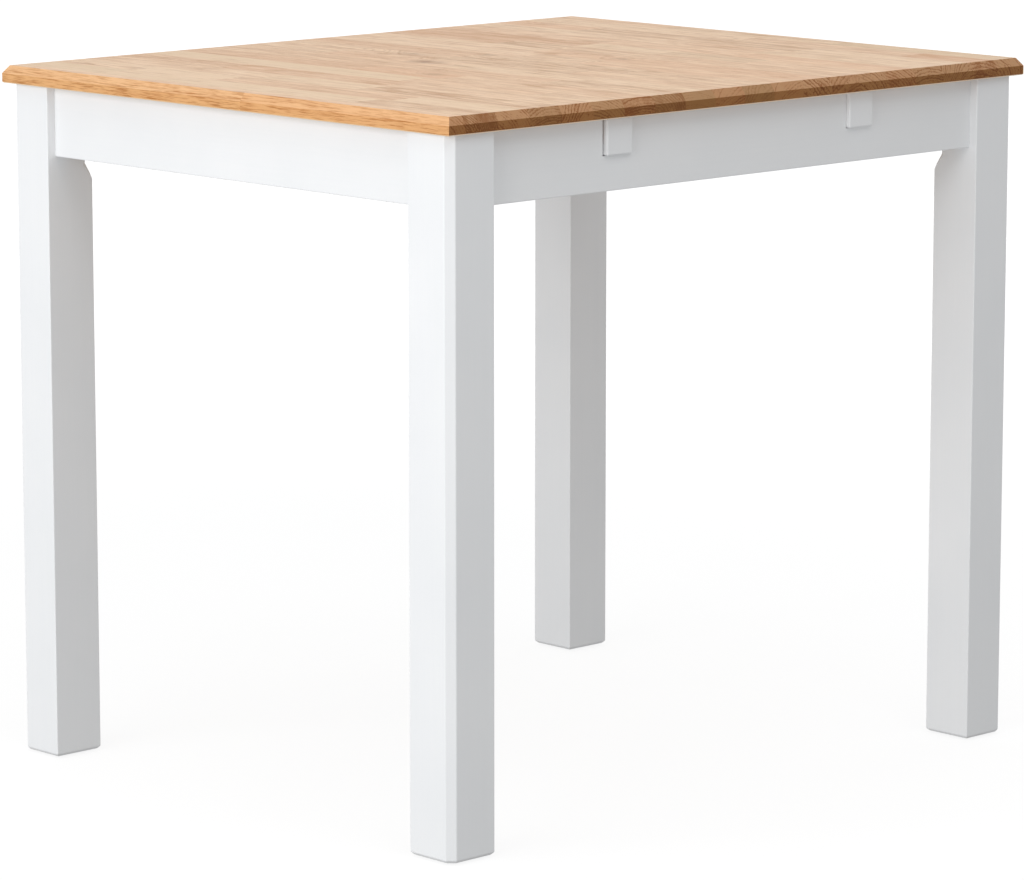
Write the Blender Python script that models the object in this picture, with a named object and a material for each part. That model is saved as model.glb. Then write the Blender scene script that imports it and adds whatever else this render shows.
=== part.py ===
"""Extending dining table: an oak top on a white four-leg frame, with two leaf bearers that pull out.

Metres, +Z up. The origin is on the floor under the middle of the table. The front is the 850 mm side,
where the bearers come out: it faces -Y, and +X runs along it. The model is built from four corners and
four sides, each an empty that carries what is fastened there. A corner's own +X and +Y run inwards along
the two outer faces of its leg. A side's own +X runs along its apron and its own +Y points inwards.
"""

import math

import bmesh
import bpy
from mathutils import Matrix, Vector

MM = 0.001

# Driving dimensions
HEIGHT = 750 * MM          # floor to the top's upper face
TOP_X = 850 * MM
TOP_Y = 700 * MM
LEG = 60 * MM              # square leg
APRON_H = 75 * MM
APRON_T = 20 * MM
BEARER_W = 36 * MM
BEARER_H = 38 * MM
GAP = 0.1 * MM             # between pieces that touch
RUN = 0.5 * MM             # running clearance above and below a bearer
SIDE_PLAY = 3 * MM         # of a bearer in its notch, both sides together

# Tabletop
BAND_H = 10.2 * MM         # upright band of its edge
BEVEL_H = 8.4 * MM         # sloping band above it
BEVEL_W = 6 * MM
OVERHANG = 7.2 * MM        # past the outer faces of the legs
TOP_EASE = 1 * MM          # small chamfer under the band
TOP_T = BAND_H + BEVEL_H
UNDERSIDE = HEIGHT - TOP_T

# Legs
LEG_X = TOP_X / 2 - OVERHANG       # outer faces of the legs
LEG_Y = TOP_Y / 2 - OVERHANG
CORNER_CHAMFER = 8 * MM            # full height, on the outer corner
FOOT_CHAMFER = 3 * MM
SEAT_CHAMFER = 12.5 * MM           # on the inner corner, behind the aprons
SEAT_BELOW = 12 * MM               # how far it goes on below the aprons at full width
SEAT_RUNOUT = 17 * MM              # height over which it then fades out
LEG_EASE = 0.8 * MM

# Foot glides, nailed on
GLIDE_H = 2 * MM
GLIDE_R = 11 * MM
NAIL_R = 1.2 * MM
NAIL_L = 14 * MM
FOOT_Z = GLIDE_H + GAP

# Aprons
APRON_RECESS = 10 * MM             # behind the outer faces of the legs
APRON_X = LEG_X - APRON_RECESS     # outer faces of the side aprons
APRON_Y = LEG_Y - APRON_RECESS     # outer faces of the front and back aprons
APRON_EASE = 1 * MM
SPAN_X = 2 * (LEG_X - LEG)         # between the legs
SPAN_Y = 2 * (LEG_Y - LEG)

# Corner blocks: a bar across each inside corner, tight against both aprons
BLOCK_H = 50 * MM
BLOCK_T = 24 * MM
BLOCK_CLEAR = 3 * MM               # to the leg, so that the nut pulls the leg home
BLOCK_AT = (2 * LEG - SEAT_CHAMFER) / math.sqrt(2) + BLOCK_CLEAR   # along the diagonal
BOLT_DROP = 32 * MM                # bolt axis below the top

# Hanger bolt M8, washer and nut
BOLT_R = 3.9 * MM
BOLT_TIP_R = 0.4 * MM
BOLT_TIP_L = 6 * MM
BOLT_EASE = 1 * MM
BOLT_IN_LEG = 40 * MM
BOLT_PAST_NUT = 6 * MM
WASHER_R = 8 * MM
WASHER_T = 1.6 * MM
NUT_FLATS = 13 * MM
NUT_H = 6.5 * MM
NUT_TURNED_OFF = 0.6 * MM          # its corners, at both ends
NUT_EDGE_H = 0.5 * MM

# Wood screws
SCREW_R = 1.9 * MM
HEAD_R = 3.8 * MM
HEAD_H = 2.4 * MM
HEAD_RIM_H = 0.6 * MM
HEAD_CROWN = 1.2 * MM              # how far the flat of the head is inside its rim
TIP_R = 0.2 * MM
TIP_L = 4 * MM
CROSS_L = 1.9 * MM                 # half the length of the cross recess
CROSS_W = 0.5 * MM                 # half its width
CROSS_DEPTH = 1.3 * MM
HEAD_ROOM = 30 * MM                # clear way in behind a head
THROUGH = 60 * MM                  # more than the thickness of any bar
BLOCK_SCREW_L = 28 * MM            # corner block into apron
BLOCK_SCREW_AT = 98 * MM           # along the apron from the leg's outer corner
BLOCK_SCREW_SEAT = 12 * MM         # its head's seat, behind the apron
BLOCK_SCREW_DROP = 16 * MM
TOP_SCREW_L = 54 * MM              # block or rail up into the top
TOP_SCREW_BITE = 12 * MM
TOP_SCREW_IN_BLOCK = (52 * MM, 78 * MM)
BRACKET_SCREW_L = 15 * MM

# Leaf bearers
BEARER_X = 179 * MM                # centres, left and right of the middle
BEARER_PROUD = 5 * MM              # past the front apron's outer face
BEARER_EASE = 1.5 * MM
BEARER_DROP = RUN + BEARER_H / 2   # axis below the top
BEARER_L = 2 * APRON_Y - APRON_T + BEARER_PROUD - 2 * RUN
NOTCH_W = BEARER_W + SIDE_PLAY
NOTCH_H = BEARER_H + 2 * RUN
NOTCH_SHIFT = {-1: -0.5 * MM, 1: 1.1 * MM}   # left and right: each bearer lies to one side of its notches

# Guide rail across the frame, which carries the bearers behind the front apron
RAIL_T = 20 * MM
RAIL_H = 60 * MM
RAIL_Y = -130 * MM
RAIL_L = 2 * (APRON_X - APRON_T) - 2 * GAP
RAIL_EASE = 0.6 * MM
RAIL_SCREW_X = 290 * MM
RAIL_DOWEL_DROP = 45 * MM

# Dowels
DOWEL_R = 4 * MM
RAIL_DOWEL_L = 30 * MM
RAIL_DOWEL_IN_APRON = 14 * MM
STOP_L = 30 * MM
STOP_SHOWS = 10 * MM               # below the bearer, where it meets the rail
STOP_AT = 600 * MM                 # from the bearer's front end

# Rest blocks under the closed bearers' rear ends
REST_W = 52 * MM
REST_T = 18 * MM
REST_H = 24 * MM

# Angle brackets between the long aprons and the top
BRACKET_W = 20 * MM
BRACKET_LEG = 26 * MM
BRACKET_T = 2 * MM
BRACKET_HOLE = 16 * MM             # from the bend
BRACKET_EASE = 0.4 * MM

ROUND = 16                         # sides of a round piece
SMALL_ROUND = 12                   # sides of a screw
HOLE_ROUND = 8                     # sides of a screw's hole
DISC_ROUND = 20                    # sides of a washer or a glide
FIT = 0.3 * MM                     # radial clearance round a shank
DOWEL_EASE = 0.8 * MM
GLIDE_EASE = 0.8 * MM
NAIL_TIP_L = 3 * MM

CORNERS = (
    ("front_left", -1, -1, 0),
    ("front_right", 1, -1, 90),
    ("back_right", 1, 1, 180),
    ("back_left", -1, 1, 270),
)
SIDES = (
    ("front", (0, -APRON_Y), 0),
    ("right", (APRON_X, 0), 90),
    ("back", (0, APRON_Y), 180),
    ("left", (-APRON_X, 0), 270),
)
LEFT_RIGHT = (("left", -1), ("right", 1))


def clear_scene():
    for obj in list(bpy.data.objects):
        bpy.data.objects.remove(obj)


def make_material(name, colour, roughness, metallic=0.0):
    material = bpy.data.materials.new(name)
    material.use_nodes = True
    shader = material.node_tree.nodes["Principled BSDF"]
    shader.inputs["Base Color"].default_value = (*colour, 1.0)
    shader.inputs["Roughness"].default_value = roughness
    shader.inputs["Metallic"].default_value = metallic
    return material


# Points and bodies

def circle(radius, z, sides):
    turns = [2 * math.pi * (i + 0.5) / sides for i in range(sides)]
    return [(radius * math.cos(t), radius * math.sin(t), z) for t in turns]


def rectangle(half_x, half_y, z):
    return [(-half_x, -half_y, z), (half_x, -half_y, z), (half_x, half_y, z), (-half_x, half_y, z)]


def loft(rings, closed=False):
    """A closed body through rings of points, with flat ends unless the rings close on themselves."""
    body = bmesh.new()
    loops = [[body.verts.new(point) for point in ring] for ring in rings]
    pairs = list(zip(loops, loops[1:]))
    if closed:
        pairs.append((loops[-1], loops[0]))
    for low, high in pairs:
        for i in range(len(low)):
            j = (i + 1) % len(low)
            body.faces.new((low[i], low[j], high[j], high[i]))
    if not closed:
        body.faces.new(loops[0])
        body.faces.new(loops[-1])
    bmesh.ops.recalc_face_normals(body, faces=body.faces[:])
    return body


def turned(profile, sides=SMALL_ROUND, closed=False):
    """A body turned about its own Z from (radius, z) pairs; closed makes a ring with a hole."""
    return loft([circle(radius, z, sides) for radius, z in profile], closed)


def box(low, high):
    middle = [(a + b) / 2 for a, b in zip(low, high)]
    rings = [rectangle((high[0] - low[0]) / 2, (high[1] - low[1]) / 2, z) for z in (low[2], high[2])]
    body = loft(rings)
    bmesh.ops.translate(body, verts=body.verts[:], vec=(middle[0], middle[1], 0))
    return body


def prism(outline, low, high):
    """An outline of (x, y) points raised from z low to z high."""
    return loft([[(x, y, z) for x, y in outline] for z in (low, high)])


def moved(body, matrix):
    body.transform(matrix)
    return body


def aim(seat, direction):
    """The matrix that puts a body at seat, with its +Z along direction."""
    turn = Vector(direction).to_track_quat("Z", "Y").to_matrix().to_4x4()
    return Matrix.Translation(seat) @ turn


# Meshes and objects

def to_mesh(body, name):
    mesh = bpy.data.meshes.new(name)
    body.to_mesh(mesh)
    body.free()
    return mesh


def ease_long_edges(body, width):
    """Rounds the edges that run along X and leaves the sawn ends square."""
    long_edges = [edge for edge in body.edges if abs(edge.verts[0].co.x - edge.verts[1].co.x) > width]
    bmesh.ops.bevel(body, geom=long_edges, offset=width, segments=2, profile=0.5, affect="EDGES")
    return body


def shaped(body, name, material, ease=0.0, cuts=(), steps=2):
    """The finished mesh: the body with its edges eased and then the cuts taken out of it."""
    blank = bpy.data.objects.new(name, to_mesh(body, name))
    bpy.context.scene.collection.objects.link(blank)
    if ease:
        bevel = blank.modifiers.new("ease", "BEVEL")
        bevel.width = ease
        bevel.segments = steps
        bevel.limit_method = "ANGLE"
        bevel.angle_limit = math.radians(30)
    cutters = []
    for body in cuts:
        cutter = bpy.data.objects.new(f"{name}_cutter", to_mesh(body, f"{name}_cutter"))
        bpy.context.scene.collection.objects.link(cutter)
        cutter.hide_render = True
        cutter.display_type = "WIRE"
        cut = blank.modifiers.new("cut", "BOOLEAN")
        cut.operation = "DIFFERENCE"
        cut.solver = "EXACT"
        cut.object = cutter
        cutters.append(cutter)
    depsgraph = bpy.context.evaluated_depsgraph_get()
    mesh = bpy.data.meshes.new_from_object(blank.evaluated_get(depsgraph), depsgraph=depsgraph)
    mesh.name = name
    for scrap in (blank, *cutters):
        bpy.data.objects.remove(scrap)
    mesh.materials.clear()
    mesh.materials.append(material)
    mesh.shade_smooth()
    mesh.set_sharp_from_angle(angle=math.radians(32))
    return mesh


def place(name, mesh, parent=None, matrix=None):
    obj = bpy.data.objects.new(name, mesh)
    bpy.context.scene.collection.objects.link(obj)
    obj.parent = parent
    obj.matrix_local = matrix or Matrix.Identity(4)
    return obj


def frame_matrix(x, y, z, degrees):
    return Matrix.Translation((x, y, z)) @ Matrix.Rotation(math.radians(degrees), 4, "Z")


# Holes: each starts at a screw's seat and runs along its +Z, like the screw

def screw_hole(depth, head_room=0.0):
    """Clearance through the held piece, with a counterbore behind the seat where head_room is given."""
    radius = SCREW_R + FIT
    if not head_room:
        return [(radius, -depth), (radius, depth)]
    wide = HEAD_R + 2 * FIT
    return [(wide, -head_room), (wide, 0), (radius, 0), (radius, depth)]


def pilot_hole(start, depth):
    """Blind hole in the piece that the screw bites into."""
    return [(SCREW_R + FIT, start - 2 * MM), (SCREW_R + FIT, depth)]


# Pieces

def make_tabletop(material, screw_seats):
    edge = ((TOP_EASE, 0), (0, TOP_EASE), (0, BAND_H), (BEVEL_W, TOP_T))
    rings = [rectangle(TOP_X / 2 - inset, TOP_Y / 2 - inset, z) for inset, z in edge]
    holes = []
    for x, y, depth in screw_seats:
        holes.append(moved(turned(pilot_hole(0, depth + MM), HOLE_ROUND), Matrix.Translation((x, y, 0))))
    return shaped(loft(rings), "tabletop", material, cuts=holes)


def make_leg(material):
    """In the corner's frame: the outer corner is the origin, and the leg fills 0 to LEG both ways."""
    chamfer = CORNER_CHAMFER
    outline = [(chamfer, 0), (LEG, 0), (LEG, LEG), (0, LEG), (0, chamfer)]
    body = prism(outline, FOOT_Z, UNDERSIDE - GAP)
    foot = [edge for edge in body.edges if all(abs(v.co.z - FOOT_Z) < GAP for v in edge.verts)]
    bmesh.ops.bevel(body, geom=foot, offset=FOOT_CHAMFER, segments=1, affect="EDGES")
    bolt_hole = turned([(BOLT_R + FIT, -MM), (BOLT_R + FIT, LEG)], ROUND)
    nail_hole = turned([(NAIL_R + FIT, -MM), (NAIL_R + FIT, GLIDE_H + NAIL_L + MM)], HOLE_ROUND)
    middle = Matrix.Translation((LEG / 2, LEG / 2, 0))
    cuts = [leg_seat_cutter(), moved(bolt_hole, bolt_matrix()), moved(nail_hole, middle)]
    return shaped(body, "leg", material, LEG_EASE, cuts)


def leg_seat_cutter():
    """What the seat chamfer takes off: a wedge across the inner corner that curves out downwards."""
    corner = 2 * LEG / math.sqrt(2)
    seat = (2 * LEG - SEAT_CHAMFER) / math.sqrt(2)
    deep = corner - seat
    start = UNDERSIDE - APRON_H - SEAT_BELOW
    profile = [(corner + deep, HEIGHT), (seat, HEIGHT), (seat, start)]
    for left_of_depth, share_of_runout in ((0.3, 0.62), (0.0, 1.0), (-1.0, 1.9)):
        profile.append((corner - left_of_depth * deep, start - share_of_runout * SEAT_RUNOUT))
    half = LEG / 2
    rings = [[(along, side, z) for along, z in profile] for side in (-half, half)]
    return moved(loft(rings), Matrix.Rotation(math.radians(45), 4, "Z"))


def bolt_matrix():
    """At the bolt's tip inside the leg, with +Z along the corner's diagonal."""
    tip = (2 * LEG - SEAT_CHAMFER) / math.sqrt(2) - BOLT_IN_LEG
    step = tip / math.sqrt(2)
    return aim((step, step, UNDERSIDE - BOLT_DROP), (1, 1, 0))


def along_bolt(distance):
    """The matrix of a piece on the bolt, at a distance from the corner measured along the diagonal."""
    step = distance / math.sqrt(2)
    return aim((step, step, UNDERSIDE - BOLT_DROP), (1, 1, 0))


def block_screw_matrices():
    """Seats of the two screws from a corner block into its aprons, in the corner's frame."""
    seat = APRON_RECESS + APRON_T + BLOCK_SCREW_SEAT
    drop = UNDERSIDE - BLOCK_SCREW_DROP
    return (
        aim((BLOCK_SCREW_AT, seat, drop), (0, -1, 0)),
        aim((seat, BLOCK_SCREW_AT, drop), (-1, 0, 0)),
    )


def top_screw_matrix(x, y):
    return aim((x, y, UNDERSIDE + TOP_SCREW_BITE - TOP_SCREW_L), (0, 0, 1))


def make_corner_block(material):
    inner = APRON_RECESS + APRON_T + GAP
    near = BLOCK_AT * math.sqrt(2) - inner
    far = (BLOCK_AT + BLOCK_T) * math.sqrt(2) - inner
    outline = [(near, inner), (far, inner), (inner, far), (inner, near)]
    body = prism(outline, UNDERSIDE - GAP - BLOCK_H, UNDERSIDE - GAP)
    bolt_hole = [(BOLT_R + 2 * FIT, BLOCK_AT - THROUGH), (BOLT_R + 2 * FIT, BLOCK_AT + THROUGH)]
    cuts = [moved(turned(bolt_hole, ROUND), along_bolt(0))]
    for matrix in block_screw_matrices():
        cuts.append(moved(turned(screw_hole(BLOCK_SCREW_SEAT, HEAD_ROOM), HOLE_ROUND), matrix))
    lift = top_screw_matrix(*TOP_SCREW_IN_BLOCK)
    cuts.append(moved(turned(screw_hole(THROUGH, HEAD_ROOM), HOLE_ROUND), lift))
    return shaped(body, "corner_block", material, RAIL_EASE, cuts, steps=1)


def make_hanger_bolt(material):
    seat = (2 * LEG - SEAT_CHAMFER) / math.sqrt(2)
    to_nut = BLOCK_AT + BLOCK_T + WASHER_T + NUT_H + 3 * GAP - seat
    length = BOLT_IN_LEG + to_nut + BOLT_PAST_NUT
    profile = [
        (BOLT_TIP_R, 0),
        (BOLT_R, BOLT_TIP_L),
        (BOLT_R, length - BOLT_EASE),
        (BOLT_R - BOLT_EASE, length),
    ]
    return shaped(turned(profile, ROUND), "hanger_bolt", material)


def make_washer(material):
    hole = BOLT_R + FIT
    profile = [(hole, 0), (WASHER_R, 0), (WASHER_R, WASHER_T), (hole, WASHER_T)]
    return shaped(turned(profile, DISC_ROUND, closed=True), "washer", material)


def make_nut(material):
    """A hexagon nut with its corners turned off at both ends."""
    corner = NUT_FLATS / math.sqrt(3)
    end = corner - NUT_TURNED_OFF
    rings = []
    for radius, z in ((end, 0), (corner, NUT_EDGE_H), (corner, NUT_H - NUT_EDGE_H), (end, NUT_H)):
        rings.append(circle(radius, z, 6))
    hole = turned([(BOLT_R + FIT, -NUT_H), (BOLT_R + FIT, 2 * NUT_H)], ROUND)
    return shaped(loft(rings), "nut", material, cuts=[hole])


def make_screw(name, length, material):
    """A pan-head wood screw with a cross recess: its seat is z 0 and its tip points along +Z."""
    profile = [
        (HEAD_R - HEAD_CROWN, -HEAD_H),
        (HEAD_R - TIP_R, HEAD_RIM_H + 0.2 * MM - HEAD_H),
        (HEAD_R, -HEAD_RIM_H),
        (HEAD_R - 0.1 * MM, 0),
        (SCREW_R, 0),
        (SCREW_R, length - TIP_L),
        (TIP_R, length),
    ]
    wide = CROSS_W
    long = CROSS_L
    cross = [(long, -wide), (long, wide), (wide, wide), (wide, long), (-wide, long), (-wide, wide),
             (-long, wide), (-long, -wide), (-wide, -wide), (-wide, -long), (wide, -long), (wide, -wide)]
    recess = prism(cross, -2 * HEAD_H, -HEAD_H + CROSS_DEPTH)
    return shaped(turned(profile), name, material, cuts=[recess])


def make_glide(material):
    """A round pad on a nail that goes up into the foot."""
    profile = [
        (GLIDE_R - GLIDE_EASE, 0),
        (GLIDE_R, GLIDE_EASE),
        (GLIDE_R, GLIDE_H),
        (NAIL_R, GLIDE_H),
        (NAIL_R, GLIDE_H + NAIL_L - NAIL_TIP_L),
        (TIP_R, GLIDE_H + NAIL_L),
    ]
    return shaped(turned(profile, DISC_ROUND), "foot_glide", material)


def notch_cutter(x, low_y, high_y):
    """A bearer's notch in a rail whose upper edge is at z 0."""
    half = NOTCH_W / 2
    return box((x - half, low_y, -NOTCH_H), (x + half, high_y, NOTCH_H))


def notch_at(sign):
    """Where the middle of a bearer's notches is along X, on the left for -1 and on the right for 1."""
    return sign * BEARER_X + NOTCH_SHIFT[sign]


def dowel_hole(depth):
    return [(DOWEL_R + FIT, -depth), (DOWEL_R + FIT, depth)]


def make_apron(name, span, material, cuts):
    """In its side's frame: y 0 is the outer face, and z 0 is the top's underside."""
    half = span / 2 - GAP
    body = ease_long_edges(box((-half, 0, -APRON_H), (half, APRON_T, -GAP)), APRON_EASE)
    for end in (-1, 1):
        along = end * (span / 2 + LEG - BLOCK_SCREW_AT)
        seat = aim((along, APRON_T + BLOCK_SCREW_SEAT, -BLOCK_SCREW_DROP), (0, -1, 0))
        cuts.append(moved(turned(pilot_hole(BLOCK_SCREW_SEAT, BLOCK_SCREW_L + MM), HOLE_ROUND), seat))
    return shaped(body, name, material, cuts=cuts)


def bracket_screw_matrices():
    """Seats of a bracket's two screws, in its side's frame: into the apron and up into the top."""
    seat = BRACKET_T + 2 * GAP
    return (
        aim((0, APRON_T + seat, -BRACKET_HOLE), (0, -1, 0)),
        aim((0, APRON_T + BRACKET_HOLE, -seat), (0, 0, 1)),
    )


def make_bracket(material):
    """An angle of steel strip in its side's frame, against the apron and the top."""
    near = APRON_T + GAP
    far = near + BRACKET_LEG
    outline = [(near, -GAP), (near, -GAP - BRACKET_LEG), (near + BRACKET_T, -GAP - BRACKET_LEG)]
    outline += [(near + BRACKET_T, -GAP - BRACKET_T), (far, -GAP - BRACKET_T), (far, -GAP)]
    half = BRACKET_W / 2
    body = loft([[(x, y, z) for y, z in outline] for x in (-half, half)])
    holes = []
    for matrix in bracket_screw_matrices():
        holes.append(moved(turned(screw_hole(2 * BRACKET_T)), matrix))
    return shaped(body, "bracket", material, BRACKET_EASE, holes, steps=1)


def make_rest_block(material):
    """In the back side's frame, centred on x 0: what a closed bearer's rear end lies on."""
    top = -NOTCH_H
    half = REST_W / 2
    body = box((-half, APRON_T + GAP, top - REST_H), (half, APRON_T + REST_T, top))
    return shaped(body, "rest_block", material, RAIL_EASE, steps=1)


def make_guide_rail(material):
    """Origin at the middle of its upper edge, level with the top's underside."""
    half = RAIL_L / 2
    body = box((-half, -RAIL_T / 2, -RAIL_H), (half, RAIL_T / 2, -GAP))
    cuts = []
    for _, side in LEFT_RIGHT:
        cuts.append(notch_cutter(notch_at(side), -RAIL_T, RAIL_T))
        seat = aim((side * RAIL_SCREW_X, 0, TOP_SCREW_BITE - TOP_SCREW_L), (0, 0, 1))
        cuts.append(moved(turned(screw_hole(THROUGH, HEAD_ROOM), HOLE_ROUND), seat))
        end = aim((side * half, 0, -RAIL_DOWEL_DROP), (side, 0, 0))
        cuts.append(moved(turned(dowel_hole(RAIL_DOWEL_L - RAIL_DOWEL_IN_APRON + MM), ROUND), end))
    return shaped(body, "guide_rail", material, RAIL_EASE, cuts, steps=1)


def make_bearer(material):
    """Origin on its axis at its front end; it runs back along +Y."""
    half = BEARER_W / 2
    body = box((-half, 0, -BEARER_H / 2), (half, BEARER_L, BEARER_H / 2))
    depth = STOP_L - STOP_SHOWS + MM
    hole = moved(turned(dowel_hole(depth), ROUND), aim((0, STOP_AT, -BEARER_H / 2), (0, 0, 1)))
    return shaped(body, "bearer", material, BEARER_EASE, [hole])


def make_dowel(name, length, material):
    low, high = DOWEL_EASE, length - DOWEL_EASE
    profile = [(DOWEL_R - DOWEL_EASE, 0), (DOWEL_R, low), (DOWEL_R, high), (DOWEL_R - DOWEL_EASE, length)]
    return shaped(turned(profile, ROUND), name, material)


# Assembly

def build_corners(meshes):
    """The four corners. Returns where each block's screw enters the top."""
    entries = []
    for name, side_x, side_y, degrees in CORNERS:
        matrix = frame_matrix(side_x * LEG_X, side_y * LEG_Y, 0, degrees)
        corner = place(f"corner_{name}", None, matrix=matrix)
        place(f"leg_{name}", meshes["leg"], corner)
        place(f"foot_glide_{name}", meshes["glide"], corner, Matrix.Translation((LEG / 2, LEG / 2, 0)))
        place(f"corner_block_{name}", meshes["block"], corner)
        place(f"hanger_bolt_{name}", meshes["bolt"], corner, bolt_matrix())
        behind = BLOCK_AT + BLOCK_T + GAP
        place(f"washer_{name}", meshes["washer"], corner, along_bolt(behind))
        place(f"nut_{name}", meshes["nut"], corner, along_bolt(behind + WASHER_T + GAP))
        for letter, seat in zip("ab", block_screw_matrices()):
            place(f"block_screw_{name}_{letter}", meshes["block_screw"], corner, seat)
        place(f"top_screw_{name}", meshes["top_screw"], corner, top_screw_matrix(*TOP_SCREW_IN_BLOCK))
        entry = matrix @ Vector((*TOP_SCREW_IN_BLOCK, 0))
        entries.append((entry.x, entry.y, TOP_SCREW_BITE))
    return entries


def build_sides(meshes):
    """The four aprons, the two brackets and the rest blocks. Returns where bracket screws enter the top."""
    entries = []
    white = meshes["white"]
    for name, (x, y), degrees in SIDES:
        matrix = frame_matrix(x, y, UNDERSIDE, degrees)
        side = place(f"side_{name}", None, matrix=matrix)
        cuts = []
        if name == "front":
            cuts += [notch_cutter(notch_at(sign), -APRON_T, 2 * APRON_T) for _, sign in LEFT_RIGHT]
        if name in ("front", "back"):
            into_apron, into_top = bracket_screw_matrices()
            bite = pilot_hole(BRACKET_T + GAP, BRACKET_SCREW_L + MM)
            cuts.append(moved(turned(bite, HOLE_ROUND), into_apron))
            place(f"bracket_{name}", meshes["bracket"], side)
            place(f"bracket_apron_screw_{name}", meshes["bracket_screw"], side, into_apron)
            place(f"bracket_top_screw_{name}", meshes["bracket_screw"], side, into_top)
            entry = matrix @ Vector((0, APRON_T + BRACKET_HOLE, 0))
            entries.append((entry.x, entry.y, BRACKET_SCREW_L - BRACKET_T))
        if name in ("left", "right"):
            along = -RAIL_Y if name == "left" else RAIL_Y
            seat = aim((along, APRON_T, -RAIL_DOWEL_DROP), (0, -1, 0))
            cuts.append(moved(turned(dowel_hole(RAIL_DOWEL_IN_APRON + MM), ROUND), seat))
        if name == "back":
            for hand, sign in LEFT_RIGHT:
                shift = Matrix.Translation((-sign * BEARER_X, 0, 0))
                place(f"rest_block_{hand}", meshes["rest_block"], side, shift)
        span = SPAN_X if name in ("front", "back") else SPAN_Y
        place(f"apron_{name}", make_apron(f"apron_{name}", span, white, cuts), side)
    return entries


def build_guide_rail(meshes):
    """The rail with its dowels and screws. Returns where its screws enter the top."""
    rail = place("guide_rail", meshes["rail"], matrix=Matrix.Translation((0, RAIL_Y, UNDERSIDE)))
    entries = []
    for hand, sign in LEFT_RIGHT:
        outer = sign * (RAIL_L / 2 + GAP + RAIL_DOWEL_IN_APRON)
        seat = aim((outer, 0, -RAIL_DOWEL_DROP), (-sign, 0, 0))
        place(f"rail_dowel_{hand}", meshes["rail_dowel"], rail, seat)
        lift = aim((sign * RAIL_SCREW_X, 0, TOP_SCREW_BITE - TOP_SCREW_L), (0, 0, 1))
        place(f"rail_screw_{hand}", meshes["top_screw"], rail, lift)
        entries.append((sign * RAIL_SCREW_X, RAIL_Y, TOP_SCREW_BITE))
    return entries


def build_bearers(meshes):
    for hand, sign in LEFT_RIGHT:
        front = Matrix.Translation((sign * BEARER_X, -APRON_Y - BEARER_PROUD, UNDERSIDE - BEARER_DROP))
        bearer = place(f"bearer_{hand}", meshes["bearer"], matrix=front)
        foot = Matrix.Translation((0, STOP_AT, -BEARER_H / 2 - STOP_SHOWS))
        place(f"stop_dowel_{hand}", meshes["stop_dowel"], bearer, foot)


def build():
    clear_scene()
    oak = make_material("oiled_oak", (0.62, 0.42, 0.25), 0.45)
    white = make_material("white_lacquer", (0.86, 0.87, 0.88), 0.38)
    pine = make_material("raw_pine", (0.66, 0.49, 0.29), 0.7)
    beech = make_material("beech_dowel", (0.6, 0.42, 0.27), 0.6)
    zinc = make_material("zinc_plated_steel", (0.55, 0.56, 0.57), 0.35, 1.0)
    plastic = make_material("glide_plastic", (0.75, 0.74, 0.7), 0.5)
    meshes = {
        "white": white,
        "leg": make_leg(white),
        "glide": make_glide(plastic),
        "block": make_corner_block(pine),
        "bolt": make_hanger_bolt(zinc),
        "washer": make_washer(zinc),
        "nut": make_nut(zinc),
        "block_screw": make_screw("block_screw", BLOCK_SCREW_L, zinc),
        "top_screw": make_screw("top_screw", TOP_SCREW_L, zinc),
        "bracket_screw": make_screw("bracket_screw", BRACKET_SCREW_L, zinc),
        "bracket": make_bracket(zinc),
        "rest_block": make_rest_block(pine),
        "rail": make_guide_rail(pine),
        "rail_dowel": make_dowel("rail_dowel", RAIL_DOWEL_L, beech),
        "bearer": make_bearer(white),
        "stop_dowel": make_dowel("stop_dowel", STOP_L, beech),
    }
    entries = build_corners(meshes) + build_sides(meshes) + build_guide_rail(meshes)
    build_bearers(meshes)
    place("tabletop", make_tabletop(oak, entries), matrix=Matrix.Translation((0, 0, UNDERSIDE)))


build()
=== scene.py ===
import math
import random

import bmesh
import bpy
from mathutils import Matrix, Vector


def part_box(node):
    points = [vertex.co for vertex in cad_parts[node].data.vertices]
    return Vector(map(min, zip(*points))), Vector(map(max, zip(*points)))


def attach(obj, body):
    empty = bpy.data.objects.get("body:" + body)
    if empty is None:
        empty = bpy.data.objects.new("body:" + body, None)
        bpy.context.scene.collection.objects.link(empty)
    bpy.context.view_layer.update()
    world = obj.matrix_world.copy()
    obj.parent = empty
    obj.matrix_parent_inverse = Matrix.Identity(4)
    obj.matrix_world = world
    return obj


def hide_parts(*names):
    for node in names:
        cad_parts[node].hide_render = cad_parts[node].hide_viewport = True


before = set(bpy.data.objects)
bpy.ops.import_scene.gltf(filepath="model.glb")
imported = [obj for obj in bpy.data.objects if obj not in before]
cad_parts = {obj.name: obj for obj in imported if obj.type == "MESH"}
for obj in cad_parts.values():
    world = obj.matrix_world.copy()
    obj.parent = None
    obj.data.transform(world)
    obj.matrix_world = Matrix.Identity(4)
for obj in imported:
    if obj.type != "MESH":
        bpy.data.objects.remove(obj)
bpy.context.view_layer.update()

MM = 0.001

# Camera: at the photograph's viewing angle, with no shift
CAMERA_AT = (-3.6717, -3.8410, 1.2801)
CAMERA_YAW = 43.656                # degrees from +Y towards +X
CAMERA_PITCH = 10.067              # degrees below the horizon
CAMERA_LENS = 174.2                # mm
CAMERA_SENSOR = 36.0               # mm wide
CAMERA_FAR = 100.0                 # metres, well past the floor

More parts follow.
